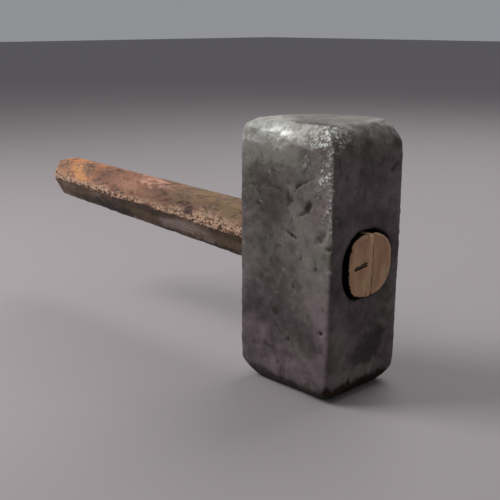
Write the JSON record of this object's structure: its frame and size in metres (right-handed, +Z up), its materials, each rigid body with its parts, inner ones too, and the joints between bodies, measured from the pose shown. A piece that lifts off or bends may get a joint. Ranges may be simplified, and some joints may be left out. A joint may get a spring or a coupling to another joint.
{
  "type": "block-headed hand hammer",
  "caption": "Short hand hammer for masonry: bevelled forged steel block head wedged on a tapered eight-sided wooden handle.",
  "frame": {"origin": "centre of the lower striking face, which the head stands on", "axes": "+Z up through the head to the upper striking face; -X along the handle towards its butt; +Y towards the right cheek, seen from the butt"},
  "size_m": [0.2353, 0.0472, 0.12],
  "materials": {
    "forged_steel": "dark worn forged surface with bare bright edges, pits and dents",
    "handle_wood": "rough hewn, unvarnished, stained and dry, with open grain and cracks",
    "wedge_wood": "sawn end grain, dry",
    "wedge_steel": "dull, hammered outer end"
  },
  "bodies": {
    "root": {"head": "forged_steel", "handle": "handle_wood", "wood_wedge": "wedge_wood", "steel_wedge": "wedge_steel"}
  },
  "joints": []
}
